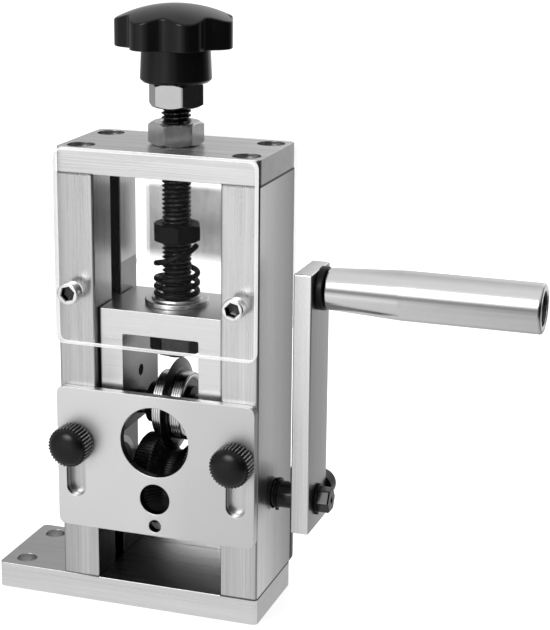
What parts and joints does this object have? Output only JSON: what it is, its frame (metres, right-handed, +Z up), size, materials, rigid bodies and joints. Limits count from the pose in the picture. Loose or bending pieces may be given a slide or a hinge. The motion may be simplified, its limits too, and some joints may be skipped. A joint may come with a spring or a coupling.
{
  "type": "hand crank wire stripper",
  "caption": "Bench wire stripper: a crank turns a grooved, knurled roller under a disc blade on a sprung carrier that a star knob sets.",
  "frame": {"origin": "on the bench under the middle of the two columns, at the base plate's lower face", "axes": "+X from the ear of the base towards the crank, +Y from the front (wire feed side) to the back, +Z up"},
  "size_m": [0.1828, 0.0553, 0.2029],
  "materials": {
    "column_aluminium": "extruded and drawn, faint upright lines",
    "plate_aluminium": "milled and brushed",
    "satin_aluminium": "fine bead-blasted satin",
    "clear_plastic": "clear sheet with polished edges",
    "bright_zinc": "bright zinc plated",
    "bright_screws": "bright nickel plated",
    "black_steel": "black oxide, slightly oiled",
    "dark_steel": "hardened and dark ground",
    "polished_steel": "polished bearing steel",
    "black_rubber": "moulded seal",
    "knob_plastic": "glossy black moulding",
    "bush_plastic": "black acetal",
    "polished_aluminium": "turned and polished"
  },
  "bodies": {
    "frame": {"base_plate": "plate_aluminium", "left_column": "column_aluminium", "right_column": "column_aluminium", "top_plate": "plate_aluminium", "top_screws": "bright_screws", "base_screws": "black_steel", "front_guard": "clear_plastic", "front_guard_screws": "bright_screws", "rear_guard": "clear_plastic", "rear_guard_screws": "bright_screws", "rear_plate": "plate_aluminium", "rear_plate_screws": "bright_screws", "jam_nut": "bright_zinc", "left_bearing_outer": "polished_steel", "left_bearing_seals": "black_rubber", "left_bearing_balls": "polished_steel", "right_bearing_outer": "polished_steel", "right_bearing_seals": "black_rubber", "right_bearing_balls": "polished_steel"},
    "guide": {"guide_plate": "satin_aluminium"},
    "left_thumb": {"left_thumb_screw": "black_steel"},
    "right_thumb": {"right_thumb_screw": "black_steel"},
    "carrier": {"blade_carrier": "plate_aluminium", "spring_washer": "bright_zinc", "spring": "black_steel", "blade_axle": "polished_steel", "axle_collar": "black_steel", "axle_circlip": "black_steel", "left_feed_inner": "dark_steel", "right_feed_inner": "dark_steel", "left_feed_balls": "polished_steel", "right_feed_balls": "polished_steel"},
    "screw": {"pressure_screw": "black_steel", "star_knob": "knob_plastic", "lock_nut": "bright_zinc", "spring_stop_nut": "black_steel", "carrier_nut": "dark_steel"},
    "blade": {"blade_disc": "dark_steel", "left_feed_ring": "polished_steel", "right_feed_ring": "polished_steel"},
    "crank": {"drive_shaft": "black_steel", "drive_roller": "black_steel", "shaft_circlip": "black_steel", "outer_circlip": "black_steel", "crank_arm": "plate_aluminium", "clamp_screw": "black_steel", "handle_screw": "black_steel", "handle_bush": "bush_plastic", "left_bearing_inner": "polished_steel", "right_bearing_inner": "polished_steel"},
    "grip": {"handle_grip": "polished_aluminium"}
  },
  "joints": [
    {"name": "carrier_slide", "type": "slide", "parent": "frame", "child": "carrier", "axis": [0, 0, 1], "range_m": [0, 0.01425]},
    {"name": "screw_turn", "type": "hinge", "parent": "carrier", "child": "screw", "pos_m": [0, 0, 0.12], "axis": [0, 0, 1], "range_deg": [0, 3420]},
    {"name": "blade_spin", "type": "hinge", "parent": "carrier", "child": "blade", "pos_m": [0, 0, 0.0682], "axis": [1, 0, 0], "continuous": true},
    {"name": "crank_turn", "type": "hinge", "parent": "frame", "child": "crank", "pos_m": [0, 0, 0.0408], "axis": [1, 0, 0], "continuous": true},
    {"name": "grip_spin", "type": "hinge", "parent": "crank", "child": "grip", "pos_m": [0.0877, 0, 0.11365], "axis": [1, 0, 0], "continuous": true},
    {"name": "guide_slide", "type": "slide", "parent": "frame", "child": "guide", "axis": [0, 0, 1], "range_m": [0, 0.0145]},
    {"name": "left_thumb_turn", "type": "hinge", "parent": "frame", "child": "left_thumb", "pos_m": [-0.0285, -0.02, 0.0583], "axis": [0, -1, 0], "range_deg": [0, 360]},
    {"name": "right_thumb_turn", "type": "hinge", "parent": "frame", "child": "right_thumb", "pos_m": [0.0285, -0.02, 0.0583], "axis": [0, -1, 0], "range_deg": [0, 360]}
  ],
  "couplings": [
    {"joint": "screw_turn", "follows": "carrier_slide", "rad_per_m": 4188.8}
  ]
}
